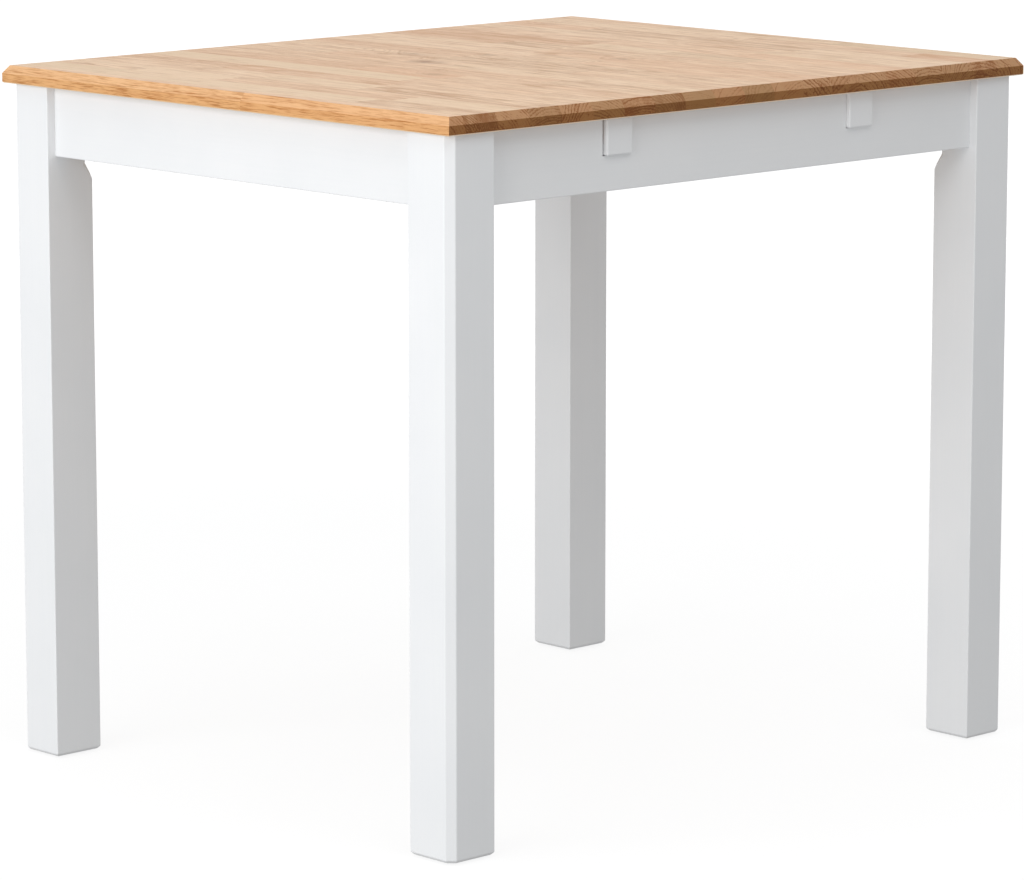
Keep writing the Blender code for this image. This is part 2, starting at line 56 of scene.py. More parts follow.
# Soft white lights: (name, place, aim, width, height, power, colour)
LIGHTS = (
    ("key", (-3.2, -0.15, 1.05), (0.0, 0.0, 0.5), 3.0, 2.2, 59.0, (0.98, 0.99, 1.0)),
    ("fill", (-0.8, -1.8, 2.4), (-0.1, 0.0, 0.6), 1.4, 1.0, 7.5, (1.0, 1.0, 1.0)),
    ("low", (-0.5, -3.4, 0.8), (0.0, 0.0, 0.6), 1.6, 0.8, 3.8, (1.0, 1.0, 1.0)),
    ("side", (3.2, 0.6, 0.9), (0.0, 0.0, 0.4), 2.0, 1.6, 16.0, (1.0, 1.0, 1.0)),
    ("overhead", (0.0, 0.0, 3.5), (0.0, 0.0, 0.0), 4.0, 4.0, 33.0, (1.0, 0.99, 0.975)),
)
SKY_COLOUR = (0.97, 0.985, 1.0)
SKY = 0.50                         # strength of the sky for all but camera and mirror rays
FLOOR_RADIUS = 30.0                # metres
FLOOR_SEEN = 0.84                  # glow of the floor to the camera near the table,
FLOOR_FADE = (1.2, 4.0)            # which rises to 1 between these distances in metres
FLOOR_GIVEN = 0.30                 # glow that lights the table
FLOOR_WHITE = 0.2
FLOOR_CLOUDS = (0.98, 1.0)         # faint unevenness of that white

# The top's edge, as in the CAD
BAND_H = 10.2 * MM
BEVEL_W = 6 * MM
EASE = 1 * MM
SOFTENED = 0.35 * MM               # rounding of the edges between its faces
SOFTENED_ANGLE = 25                # degrees, from which an edge counts
SAME_POINT = 1e6                   # corners are told apart to a millionth of a metre

# The notch of the left bearer: bare wood colour in the upper part of its gap, painted as shade
NOTCH_REACH = 2.3 * MM             # from the bearer past the wall of its notch
NOTCH_SHADE_FROM = 13 * MM            # lacquer white below this height on the notch's walls, and painted shade of wood colour above it,
NOTCH_RAGGED = 3.9 * MM            # and how far up and down its end is blurred
NOTCH_SKIN = 0.4 * MM              # the apron's front stays lacquered this deep

# Staves: columns from the left edge, and butt joints from the front edge, in millimetres
FIRST_COLUMN = 22
COLUMN_PITCH = 43.58

# For each column, its staves from the front edge: (length, tone, warmth); the last runs to the back
STAVES = (
    ((310, 0.8, 0.5), (0, 0.9, 0.3)),
    ((168, -0.3, 0.0), (395, 1.5, -0.5), (0, 1.5, -0.8)),
    ((155, 1.1, -0.4), (273, 0.0, 0.4), (137, 1.7, -0.3), (0, 1.0, -0.1)),
    ((258, -0.4, 0.1), (152, 1.0, -0.4), (0, 0.2, 0.2)),
    ((265, 0.3, 0.2), (255, -0.8, 0.7), (0, -0.1, 0.2)),
    ((95, 0.6, 0.0), (195, 0.3, 0.3), (0, 1.5, -0.7)),
    ((275, -0.1, 0.3), (140, -0.6, 1.0), (0, -0.5, 0.5)),
    ((175, -0.2, 0.0), (175, -0.1, 0.5), (0, 0.0, 0.3)),
    ((370, 0.6, -0.2), (195, 0.3, 0.5), (0, 0.0, 0.1)),
    ((220, 0.1, 0.2), (210, -0.3, -0.1), (0, 0.3, 0.1)),
    ((185, 0.2, 0.0), (245, -0.2, 0.0), (0, -0.2, 0.5)),
    ((290, 0.1, 0.5), (95, 0.2, 0.1), (0, 0.7, 0.1)),
    ((255, -0.1, 0.8), (155, 0.2, 0.5), (0, 0.7, 0.1)),
    ((300, -0.2, 0.3), (120, -0.2, 0.1), (95, -0.6, 0.0), (0, -0.9, 0.7)),
    ((170, 0.7, 0.2), (135, -0.2, -0.3), (125, 1.0, -0.4), (0, -0.8, 0.6)),
    ((230, 0.2, 0.8), (205, 0.3, 0.4), (0, 0.2, 0.5)),
    ((240, 0.4, -0.2), (120, 0.1, 0.3), (0, 0.6, 0.0)),
    ((220, 1.1, -0.2), (340, -0.8, 0.1), (0, 0.0, 0.9)),
    ((105, -1.8, 0.9), (250, -0.2, 0.2), (0, 0.9, -0.1)),
    ((250, 0.3, -0.9), (260, 0.1, -0.2), (0, 0.3, 0.3)),
)

# The ends of the columns at the front edge: (tone, warmth)
FRONT_ENDS = (
    (0.3, 0.5), (-0.7, -0.1), (0.4, 0.3), (-0.3, -0.5), (0.4, 0.3),
    (0.8, -0.5), (-0.4, 0.3), (-0.8, -0.7), (1.0, -1.1), (0.5, 0.5),
    (0.0, -1.2), (1.3, 0.3), (0.6, 0.0), (-0.2, 0.2), (0.4, -0.1),
    (0.3, 0.3), (0.6, -0.5), (0.4, -0.5), (-0.3, 0.2), (0.5, 0.1),
)

# Knots: (column, across from the left edge, from the front edge, radius, strength), in millimetres
KNOTS = (
    (8, 352, 412, 21, 0.9),
    (9, 400, 487, 22, 0.4),
    (6, 268, 312, 15, 0.45),
    (7, 308, 345, 6, 0.4),
    (10, 445, 330, 7, 0.5),
    (10, 452, 425, 10, 0.7),
    (11, 468, 225, 5, 0.3),
    (12, 525, 290, 11, 0.7),
    (17, 756, 640, 14, 0.4),
    (18, 782, 367, 4, 0.9),
    (19, 822, 683, 4, 0.9),
)
NO_KNOT = (0.0, -9.0, 1 * MM)      # a knot far outside the table

# Staves with a wilder figure than the rest: (column, stave counted from the front) and how wild, up to 1
FIGURE = {
    (1, 1): 0.4, (2, 3): 0.7, (4, 2): 0.9, (5, 2): 0.4, (7, 1): 0.6, (8, 1): 0.7,
    (9, 2): 0.7, (10, 0): 0.5, (10, 1): 1.0, (10, 2): 0.9, (11, 2): 0.5, (12, 0): 0.9,
    (12, 1): 1.0, (13, 3): 1.0, (14, 1): 0.4, (14, 3): 1.0, (15, 2): 0.7, (16, 1): 0.5,
    (16, 2): 0.5, (17, 2): 0.7, (18, 0): 0.9, (18, 2): 0.5, (19, 0): 0.5,
}
PLAIN_FIGURE = 0.25

# Drawn at random for each stave: the centre of its growth rings, their spacing and its patch of the noise
DRAW_SEED = 7
HEART_ASIDE = 60                   # mm to either side of the column's middle, at most
HEART_BELOW = (12, 95)             # mm under the top
HEART_LEAN = 0.05                  # how much the centre climbs along the stave, at most
PATCHES = 40                       # metres that the patches are spread over
RING_SPACING = (2.2, 4.4)          # mm

# Oak colours, all linear
OAK_LIGHT = (0.850, 0.598, 0.386)
OAK_DARK = (0.440, 0.205, 0.065)
OAK_WARM = (0.740, 0.400, 0.200)
OAK_OLIVE = (0.650, 0.465, 0.265)
OAK_KNOT = (0.330, 0.155, 0.060)
OAK_CHAMFER_HIGHLIGHT = (0.900, 0.640, 0.380)   # the small chamfer under the band, pale as bare wood and lighter still as a painted highlight along the edge,
END_CHAMFER_HIGHLIGHT = (1.0, 0.79, 0.58)       # and the same across the grain
END_OIL = (0.60, 0.46, 0.34)       # how the oil darkens wood cut across the grain,
BAND_PAINTED_SHADE = (0.89, 0.71, 0.485)     # painted shade that darkens the upright band of the edge,
END_BAND_PAINTED_SHADE = (0.70, 0.72, 0.66)  # and more painted shade on the band across the grain
BEVEL_PAINTED_SHADE = 0.70                   # share of the band's painted shade on the bevel along the grain

# Noise is a value around 0.5, most of it in the first range and nearly all in the second
NOISE_RANGE = (0.3, 0.7)
NOISE_REACH = (0.2, 0.8)

# Oak patterns, in cells of noise for each metre: (across the stave, along it)
STREAK = (60.0, 3.5)               # broad streaks
FLAME = (190.0, 17.0)              # short flames
PORE = (1400.0, 70.0)
PORE_CUT = (0.56, 0.68)            # noise at which a pore starts, and is full
VEIN = (330.0, 12.0)               # thin dark lines
VEIN_CUT = (0.60, 0.67)
FLECK = (150.0, 34.0)              # short dark marks in a wild figure
FLECK_CUT = (0.58, 0.72)
WANDER = (16.0, 4.0)               # how the rings wander
RING_EDGE = (300.0, 16.0)          # how ragged their edges are
FIBRE = 620.0                      # fine fibres across the stave,
FIBRE_BAND = 420.0                 # this many more on the band,
FIBRE_LONG = 0.04                  # and their share along it

# How dark each pattern makes the wood, where 0 is OAK_LIGHT and 1 OAK_DARK
RING_SHADE = 0.42
RING_SHADE_WILD = 0.35             # added in the wildest figure
RING_SHADE_END = 0.5               # share added across the grain
STREAK_SHADE = (-0.13, 0.15)
FLAME_SHADE = (-0.29, 0.36)
FIBRE_SHADE = (-0.26, 0.33)
FLAME_ON_BAND = -0.65              # share added on the band: less flame,
FIBRE_ON_BAND = 0.8                # and more fibre
FINE_ON_BAND = 0.7                 # share added to flame and fibre on the band; across the grain they lose 1,
FINE_LEAST = 0.42                  # but keep at least this share
PORE_SHADE = 0.08
PORE_SHADE_RING = 0.22             # added where a ring is dark
FLECK_SHADE = 0.5
VEIN_SHADE = 0.28
VEIN_SHADE_WILD = 0.25
TONE_SHADE = 0.22                  # one step of a stave's tone, which makes it lighter
SHADE_PIVOT = 0.26                 # the shade that contrast leaves alone,
SHADE_LIFT = 0.40                  # which comes out as this
END_CONTRAST = 1.1                 # more contrast across the grain,
END_BAND_CONTRAST = 2.8            # and on the band there
HUE_DRIFT = 1.2                    # how much the broad streaks change the warmth
HUE_SHARE = 0.5                    # of OAK_WARM or OAK_OLIVE, for each step of warmth

# Oak's sheen
OAK_ROUGHNESS = (0.34, 0.48)
BAND_ROUGHNESS = 0.12              # added on the band
OAK_GLOSS = 0.22                   # specular level
OAK_BUMP_FIBRE = 0.4               # how high the fibres stand,
OAK_BUMP_PORE = 0.5                # and how deep the pores are

# Growth rings
RING_WANDER = 6 * MM
RING_WANDER_WILD = 26 * MM         # added in the wildest figure
RING_RAGGED = 0.8                  # of the spacing
RING_PROFILE = ((0.0, 0.8), (0.12, 1.0), (0.45, 0.25), (0.9, 0.0), (1.0, 0.7))
RING_STEP = 0.37                   # place of each ring in the noise that makes some rings stronger,
RING_NOISE = 1.7                   # that noise's scale,
RING_STRONG = (0.3, 0.75)          # and from nothing to the strongest

# Knots, in knot radii
KNOT_LONG = 0.7                    # distances along the stave count this much
KNOT_NOISE = 90.0                  # cells for each metre
KNOT_RAGGED = 1.4                  # how much this noise
KNOT_FLAMED = 1.2                  # and the flames push the outline in
KNOT_EDGE = (1.3, 2.5)             # full inside the first, gone past the second
KNOT_RINGS = 2.2                   # rings for each radius
KNOT_RIM = (0.55, 0.6)             # how much the rings add, and the shade between them
KNOT_FALL = -0.35                  # how fast the growth rings straighten again around a knot
KNOT_PUSH = 0.9                    # how far it pushes them

# The plain finishes. Patterns are cells of noise for each metre, a pair being across and along the grain
LACQUER_CLOUD = 9.0
LACQUER_GRAIN = (420.0, 9.0)
LACQUER_PEEL = 900.0
LACQUER_WHITE = ((0.3, (0.84, 0.85, 0.86)), (0.7, (0.87, 0.875, 0.88)))
LACQUER_SHARES = (0.7, 0.3)        # of the clouds and the grain in its colour
LACQUER_HEIGHTS = (0.7, 0.3)       # of the grain and the peel in its bump
# Bare pine colours in the notch, which also paint the shade in its gap
NOTCH_WOOD_SHADE = ((0.62, 0.42, 0.27), (0.45, 0.27, 0.16))
WOOD_WANDER = (20.0, 3.0)
WOOD_FIBRE = (700.0, 16.0)
WOOD_HEART = (0.021, 0.013, -0.67)
WOOD_LONG = 0.04                   # distances along the grain count this much for the rings
WOOD_RAGGED = 2.4                  # how many rings the wandering is worth
WOOD_RING_SHADE = 0.8
WOOD_FIBRE_SHADE = (-0.15, 0.25)
PINE = ((0.78, 0.58, 0.36), (0.56, 0.34, 0.17))
PINE_LONG_RINGS = 3.1 * MM
PINE_BLOCK_RINGS = 2.7 * MM
BLOCK_TURN = 45.0                  # degrees
BEECH = ((0.66, 0.44, 0.29), (0.52, 0.32, 0.19))
BEECH_RINGS = 1.6 * MM
ZINC_SPANGLE = 130.0
ZINC_SPECK = 1600.0
ZINC_GREY = ((0.3, (0.50, 0.52, 0.55)), (0.55, (0.66, 0.66, 0.66)), (0.75, (0.70, 0.68, 0.60)))
PLASTIC_CLOUD = 60.0
PLASTIC_SCUFF = (900.0, 200.0)
PLASTIC_GREY = ((0.3, (0.62, 0.61, 0.57)), (0.7, (0.72, 0.71, 0.68)))

# Roughness of each finish, from low to high noise
LACQUER_ROUGHNESS = (0.36, 0.46)
WOOD_ROUGHNESS = (0.6, 0.78)
ZINC_ROUGHNESS = (0.24, 0.44)
PLASTIC_ROUGHNESS = (0.4, 0.65)

# Depth of each material's bump
OAK_BUMP = 0.12 * MM
LACQUER_BUMP = 0.05 * MM
WOOD_BUMP = 0.15 * MM
ZINC_BUMP = 0.03 * MM
PLASTIC_BUMP = 0.04 * MM


# Materials

class Recipe:
    """A Principled material, and short ways to add nodes to it."""

    def __init__(self, name):
        self.material = bpy.data.materials.new(name)
        self.material.use_nodes = True
        self.tree = self.material.node_tree
        self.shader = self.tree.nodes["Principled BSDF"]

    def feed(self, socket, value):
        if isinstance(value, bpy.types.NodeSocket):
            self.tree.links.new(value, socket)
        elif value is not None:
            socket.default_value = value

    def add(self, kind, inputs=None, **settings):
        node = self.tree.nodes.new(kind)
        for key, value in settings.items():
            setattr(node, key, value)
        for key, value in (inputs or {}).items():
            self.feed(node.inputs[key], value)
        return node

    def place(self):
        return self.add("ShaderNodeTexCoord").outputs["Object"]

    def attribute(self, name):
        return self.add("ShaderNodeAttribute", attribute_name=name).outputs["Vector"]

    def split(self, vector):
        return self.add("ShaderNodeSeparateXYZ", {0: vector}).outputs

    def join(self, x, y, z):
        return self.add("ShaderNodeCombineXYZ", {0: x, 1: y, 2: z}).outputs[0]

    def math(self, operation, a, b=None, c=None, clamp=False):
        inputs = {0: a, 1: b, 2: c}
        return self.add("ShaderNodeMath", inputs, operation=operation, use_clamp=clamp).outputs[0]

    def plus(self, a, b, clamp=False):
        return self.math("ADD", a, b, clamp=clamp)

    def minus(self, a, b):
        return self.math("SUBTRACT", a, b)

    def times(self, a, b, clamp=False):
        return self.math("MULTIPLY", a, b, clamp=clamp)

    def scaled(self, a, factor, offset):
        """a times the factor, plus the offset."""
        return self.math("MULTIPLY_ADD", a, factor, offset)

    def vector(self, operation, a, b=None):
        return self.add("ShaderNodeVectorMath", {0: a, 1: b}, operation=operation).outputs[0]

    def length(self, a):
        return self.add("ShaderNodeVectorMath", {0: a}, operation="LENGTH").outputs["Value"]

    def noise(self, vector, scale=1.0, detail=2.0, roughness=0.5):
        inputs = {"Vector": vector, "Scale": scale, "Detail": detail, "Roughness": roughness}
        return self.add("ShaderNodeTexNoise", inputs).outputs["Fac"]

    def stretched(self, place, axis, pattern, detail, roughness=0.5):
        """Noise drawn out along the axis; the pattern is its cells for each metre, across and along."""
        return self.noise(self.vector("MULTIPLY", place, along(axis, *pattern)), 1.0, detail, roughness)

    def remap(self, value, low, high, to_low=0.0, to_high=1.0, smooth=False):
        inputs = {"Value": value, "From Min": low, "From Max": high, "To Min": to_low, "To Max": to_high}
        kind = "SMOOTHSTEP" if smooth else "LINEAR"
        return self.add("ShaderNodeMapRange", inputs, interpolation_type=kind).outputs["Result"]

    def ramp(self, value, stops):
        node = self.add("ShaderNodeValToRGB", {0: value})
        elements = node.color_ramp.elements
        while len(elements) < len(stops):
            elements.new(0.5)
        for element, (at, colour) in zip(elements, stops):
            element.position = at
            element.color = (*colour, 1.0)
        return node.outputs["Color"]

    def mix(self, factor, a, b, blend="MIX"):
        node = self.add("ShaderNodeMix", data_type="RGBA", blend_type=blend, clamp_factor=True)
        for socket, value in ((node.inputs[0], factor), (node.inputs[6], a), (node.inputs[7], b)):
            if isinstance(value, tuple):
                value = (*value, 1.0)
            self.feed(socket, value)
        return node.outputs[2]

    def finish(self, colour, roughness, height, depth, **plain):
        """Connects the colour, the roughness and a bump of that depth in metres."""
        self.feed(self.shader.inputs["Base Color"], colour)
        self.feed(self.shader.inputs["Roughness"], roughness)
        bump = self.add("ShaderNodeBump", {"Height": height, "Distance": depth, "Strength": 1.0})
        self.feed(self.shader.inputs["Normal"], bump.outputs["Normal"])
        for key, value in plain.items():
            self.shader.inputs[key.replace("_", " ")].default_value = value
        return self.material


def along(axis, across, lengthways):
    """Scales for X, Y and Z: lengthways along the axis, and across it for the other two."""
    return tuple(lengthways if letter == axis else across for letter in "xyz")


def oak_knot(r, place, own, flame):
    """How much knot there is, ringed and ragged, and how far it pushes the growth rings."""
    x, y, _ = r.split(place)
    knot_x, knot_y, knot_r = r.split(r.attribute("knot"))
    away_x = r.minus(x, knot_x)
    away_y = r.times(r.minus(y, knot_y), KNOT_LONG)
    away = r.math("DIVIDE", r.length(r.join(away_x, away_y, 0.0)), knot_r)
    ragged = r.scaled(r.noise(own, KNOT_NOISE, 3.0, 0.6), KNOT_RAGGED, away)
    ragged = r.scaled(flame, KNOT_FLAMED, ragged)
    rings = r.math("PINGPONG", r.times(ragged, KNOT_RINGS), 1.0)
    knot = r.remap(ragged, *KNOT_EDGE, 1.0, 0.0, smooth=True)
    knot = r.times(knot, r.scaled(rings, *KNOT_RIM), clamp=True)
    swirl = r.math("EXPONENT", r.times(r.times(away, away), KNOT_FALL))
    return knot, r.times(r.times(swirl, knot_r), KNOT_PUSH)


def oak_rings(r, place, own, patch, figure, spacing, push):
    """Growth rings about an axis that runs roughly along the stave, some of them stronger than others."""
    x, y, z = r.split(place)
    heart_x, heart_z, lean = r.split(r.attribute("heart"))
    reach = r.scaled(figure, RING_WANDER_WILD, RING_WANDER)
    sideways = r.times(r.minus(r.stretched(own, "y", WANDER, 2.0), 0.5), reach)
    ring_x = r.plus(r.minus(x, heart_x), sideways)
    ring_z = r.plus(r.minus(z, heart_z), r.times(lean, y))
    radius = r.plus(r.length(r.join(ring_x, 0.0, ring_z)), push)
    edge = r.times(r.stretched(own, "y", RING_EDGE, 2.0), RING_RAGGED)
    turns = r.plus(r.math("DIVIDE", radius, spacing), edge)
    ring = r.ramp(r.math("FRACT", turns), [(at, (shade,) * 3) for at, shade in RING_PROFILE])
    which = r.times(r.math("FLOOR", turns), RING_STEP)
    strong = r.noise(r.join(which, patch, 0.0), RING_NOISE, 1.0)
    return r.times(ring, r.remap(strong, *RING_STRONG))


def oak_material():
    """Oiled oak, from what write_staves says of each face."""
    r = Recipe("oiled_oak")
    place = r.place()
    tone, warmth, patch = r.split(r.attribute("tone"))
    strength, figure, spacing = r.split(r.attribute("mark"))
    end, band, chamfer_highlight = r.split(r.attribute("cut"))
    own = r.vector("ADD", place, r.join(patch, patch, patch))

    streak = r.stretched(own, "y", STREAK, 2.0)
    flame = r.stretched(own, "y", FLAME, 3.0, 0.6)
    pore = r.remap(r.stretched(own, "y", PORE, 1.0), *PORE_CUT)
    vein = r.remap(r.stretched(own, "y", VEIN, 2.0, 0.6), *VEIN_CUT, smooth=True)
    fleck = r.remap(r.stretched(own, "y", FLECK, 2.0, 0.7), *FLECK_CUT, smooth=True)
    thin = r.scaled(band, FIBRE_BAND, FIBRE)
    fibre_scale = r.join(thin, r.times(thin, FIBRE_LONG), thin)
    fibre = r.noise(r.vector("MULTIPLY", own, fibre_scale), 1.0, 3.0, 0.65)
    knot, push = oak_knot(r, place, own, flame)
    ring = oak_rings(r, place, own, patch, figure, spacing, push)

    shade = r.times(ring, r.scaled(figure, RING_SHADE_WILD, RING_SHADE))
    shade = r.scaled(end, r.times(shade, RING_SHADE_END), shade)
    shade = r.plus(shade, r.remap(streak, *NOISE_RANGE, *STREAK_SHADE))
    soft = r.times(r.remap(flame, *NOISE_RANGE, *FLAME_SHADE), r.scaled(band, FLAME_ON_BAND, 1.0))
    sharp = r.times(r.remap(fibre, *NOISE_RANGE, *FIBRE_SHADE), r.scaled(band, FIBRE_ON_BAND, 1.0))
    crisp = r.scaled(end, -1.0, r.scaled(band, FINE_ON_BAND, 1.0))
    shade = r.scaled(r.plus(soft, sharp), r.math("MAXIMUM", crisp, FINE_LEAST), shade)
    shade = r.plus(shade, r.times(pore, r.scaled(ring, PORE_SHADE_RING, PORE_SHADE)))
    shade = r.scaled(fleck, r.times(figure, FLECK_SHADE), shade)
    shade = r.scaled(vein, r.scaled(figure, VEIN_SHADE_WILD, VEIN_SHADE), shade)
    shade = r.minus(shade, r.times(tone, TONE_SHADE))
    contrast = r.times(end, r.scaled(band, END_BAND_CONTRAST, END_CONTRAST))
    shade = r.times(r.minus(shade, SHADE_PIVOT), r.plus(contrast, 1.0))
    shade = r.plus(shade, SHADE_LIFT, clamp=True)

    colour = r.mix(shade, OAK_LIGHT, OAK_DARK)
    hue = r.scaled(r.minus(streak, 0.5), HUE_DRIFT, warmth)
    colour = r.mix(r.times(hue, HUE_SHARE), colour, OAK_WARM)
    colour = r.mix(r.times(hue, -HUE_SHARE), colour, OAK_OLIVE)
    colour = r.mix(r.times(knot, strength), colour, OAK_KNOT)
    colour = r.mix(end, colour, END_OIL, "MULTIPLY")
    # Painted shade: the band, and in part the bevel, are darkened and made more saturated than the top
    colour = r.mix(band, colour, BAND_PAINTED_SHADE, "MULTIPLY")
    colour = r.mix(r.times(band, end), colour, END_BAND_PAINTED_SHADE, "MULTIPLY")
    # Painted highlight: the chamfer under the band takes a pale colour
    colour = r.mix(chamfer_highlight, colour, r.mix(end, OAK_CHAMFER_HIGHLIGHT, END_CHAMFER_HIGHLIGHT))
    roughness = r.plus(r.remap(fibre, *NOISE_REACH, *OAK_ROUGHNESS), r.times(band, BAND_ROUGHNESS))
    height = r.minus(r.times(fibre, OAK_BUMP_FIBRE), r.times(pore, OAK_BUMP_PORE))
    return r.finish(colour, roughness, height, OAK_BUMP, Specular_IOR_Level=OAK_GLOSS)


def notch_shade_mask(r, place):
    """1 on the upper walls of the left bearer's notch: bare wood, as if sawn after the lacquer, placed as
    painted shade in the gap under the top.
    """
    x, y, z = r.split(place)
    low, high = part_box("bearer_left")
    middle = (low.x + high.x) / 2
    half = (high.x - low.x) / 2 + NOTCH_REACH
    shade_from = low.z + NOTCH_SHADE_FROM
    inside = r.math("LESS_THAN", r.math("ABSOLUTE", r.minus(x, middle)), half)
    above = r.remap(z, shade_from - NOTCH_RAGGED, shade_from + NOTCH_RAGGED, smooth=True)
    behind = r.math("GREATER_THAN", y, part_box("apron_front")[0].y + NOTCH_SKIN)
    return r.times(r.times(inside, above), behind)


def lacquer_material(axis, notched=False):
    """White satin lacquer on wood whose grain runs along the axis."""
    r = Recipe(f"white_lacquer_{axis}" + ("_notched" if notched else ""))
    place = r.place()
    cloud = r.noise(place, LACQUER_CLOUD, 3.0)
    grain = r.stretched(place, axis, LACQUER_GRAIN, 3.0)
    peel = r.noise(place, LACQUER_PEEL, 1.0)
    of_cloud, of_grain = LACQUER_SHARES
    colour = r.ramp(r.plus(r.times(cloud, of_cloud), r.times(grain, of_grain)), LACQUER_WHITE)
    if notched:
        # Painted shade: the notch's upper walls take dark wood colour
        colour = r.mix(notch_shade_mask(r, place), colour, r.mix(grain, *NOTCH_WOOD_SHADE))
    roughness = r.remap(cloud, *NOISE_RANGE, *LACQUER_ROUGHNESS)
    of_grain, of_peel = LACQUER_HEIGHTS
    height = r.plus(r.times(grain, of_grain), r.times(peel, of_peel))
    return r.finish(colour, roughness, height, LACQUER_BUMP)


def plain_wood(name, axis, light, dark, spacing, turn=0.0):
    """Bare wood with growth rings, its grain along the axis after a turn about Z in degrees."""
    r = Recipe(name)
    turned = {"Vector": r.place(), "Rotation": (0.0, 0.0, math.radians(turn))}
    place = r.add("ShaderNodeMapping", turned).outputs["Vector"]
    wander = r.stretched(place, axis, WOOD_WANDER, 2.0)
    across = r.vector("MULTIPLY", place, along(axis, 1.0, WOOD_LONG))
    radius = r.length(r.vector("ADD", across, WOOD_HEART))
    turns = r.plus(r.math("DIVIDE", radius, spacing), r.times(wander, WOOD_RAGGED))
    ring = r.math("PINGPONG", turns, 0.5)
    fibre = r.stretched(place, axis, WOOD_FIBRE, 3.0)
    ring_shade = r.remap(ring, 0.1, 0.5, 0.0, WOOD_RING_SHADE, smooth=True)
    fibre_shade = r.remap(fibre, *NOISE_RANGE, *WOOD_FIBRE_SHADE)
    colour = r.mix(r.plus(ring_shade, fibre_shade, clamp=True), light, dark)
    roughness = r.remap(fibre, *NOISE_RANGE, *WOOD_ROUGHNESS)
    return r.finish(colour, roughness, fibre, WOOD_BUMP)


def zinc_material():
    """Zinc plating with a soft spangle and fine specks."""
    r = Recipe("zinc_plated_steel")
    place = r.place()
    speck = r.noise(place, ZINC_SPECK, 2.0)
    colour = r.ramp(r.noise(place, ZINC_SPANGLE, 3.0), ZINC_GREY)
    roughness = r.remap(speck, *NOISE_RANGE, *ZINC_ROUGHNESS)
    return r.finish(colour, roughness, speck, ZINC_BUMP, Metallic=1.0)


def plastic_material():
    """Pale grey plastic, scuffed along Y."""
    r = Recipe("glide_plastic")
    place = r.place()
    scuff = r.stretched(place, "y", PLASTIC_SCUFF, 3.0)
    colour = r.ramp(r.noise(place, PLASTIC_CLOUD, 2.0), PLASTIC_GREY)
    roughness = r.remap(scuff, *NOISE_RANGE, *PLASTIC_ROUGHNESS)
    return r.finish(colour, roughness, scuff, PLASTIC_BUMP)


# The top

def stave_plan(low, high):
    """The columns' edges in X, and for each column the edges of its staves in Y."""
    edges = [low.x]
    edges += [low.x + (FIRST_COLUMN + COLUMN_PITCH * i) * MM for i in range(len(STAVES) - 1)]
    edges.append(high.x)
    columns = []
    for staves in STAVES:
        joints = [low.y]
        for length, _, _ in staves[:-1]:
            joints.append(joints[-1] + length * MM)
        joints.append(high.y)
        columns.append(joints)
    return edges, columns


def build_oak_top():
    """The whole top as one closed mesh whose faces are the staves' own."""
    low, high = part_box("tabletop")
    edges, columns = stave_plan(low, high)
    last = len(columns) - 1
    body = bmesh.new()
    points = {}
    owners = []

    def vert(x, y, z):
        key = tuple(round(value * SAME_POINT) for value in (x, y, z))
        if key not in points:
            points[key] = body.verts.new((x, y, z))
        return points[key]

    def face(corners, stave, end=0.0, level=None):
        """level counts up the edge: 0 is the small chamfer under the band, 1 the band and 2 the bevel."""
        body.faces.new([vert(*corner) for corner in corners])
        # the band's share, which also sets how much painted shade the face gets
        band = (0.0, 1.0, 0.0 if end else BEVEL_PAINTED_SHADE)[level or 0]
        # the chamfer gets the painted highlight
        chamfer_highlight = 1.0 if level == 0 else 0.0
        owners.append((stave, (end, band, chamfer_highlight)))

    rings = ((low.z, EASE), (low.z + EASE, 0.0), (low.z + BAND_H, 0.0), (high.z, BEVEL_W))

    def at_x(column, inset):
        return min(max(edges[column], low.x + inset), high.x - inset)

    def at_y(y, inset):
        return min(max(y, low.y + inset), high.y - inset)

    def strip(ends, level, stave, end):
        """A face of the edge between two rings; its ends are given as (column edge, y)."""
        (z, inset), (top_z, top_inset) = rings[level:level + 2]
        corners = [(at_x(side, inset), at_y(y, inset), z) for side, y in ends]
        corners += [(at_x(side, top_inset), at_y(y, top_inset), top_z) for side, y in reversed(ends)]
        face(corners, stave, end, level)

    for column, joints in enumerate(columns):
        for row, (front, back) in enumerate(zip(joints, joints[1:])):
            for z, inset in (rings[0], rings[-1]):
                left, right = at_x(column, inset), at_x(column + 1, inset)
                near, far = at_y(front, inset), at_y(back, inset)
                steps = []
                for neighbour in (column - 1, column + 1):
                    inner = columns[neighbour] if 0 <= neighbour <= last else ()
                    steps.append([y for y in inner if near < y < far])
                outline = [(left, near, z), (right, near, z)]
                outline += [(right, y, z) for y in steps[1]]
                outline += [(right, far, z), (left, far, z)]
                outline += [(left, y, z) for y in reversed(steps[0])]
                face(outline, (column, row))
    for column, joints in enumerate(columns):
        for row, (front, back) in enumerate(zip(joints, joints[1:])):
            for level in range(len(rings) - 1):
                if row == 0:
                    strip([(column, front), (column + 1, front)], level, (column, row), 1.0)
                if row == len(joints) - 2:
                    strip([(column, back), (column + 1, back)], level, (column, row), 1.0)
                if column == 0:
                    strip([(column, front), (column, back)], level, (column, row), 0.0)
                if column == last:
                    strip([(column + 1, front), (column + 1, back)], level, (column, row), 0.0)
    bmesh.ops.recalc_face_normals(body, faces=body.faces[:])
    mesh = bpy.data.meshes.new("oak_top")
    body.to_mesh(mesh)
    body.free()
    write_staves(mesh, owners, low)
    return mesh


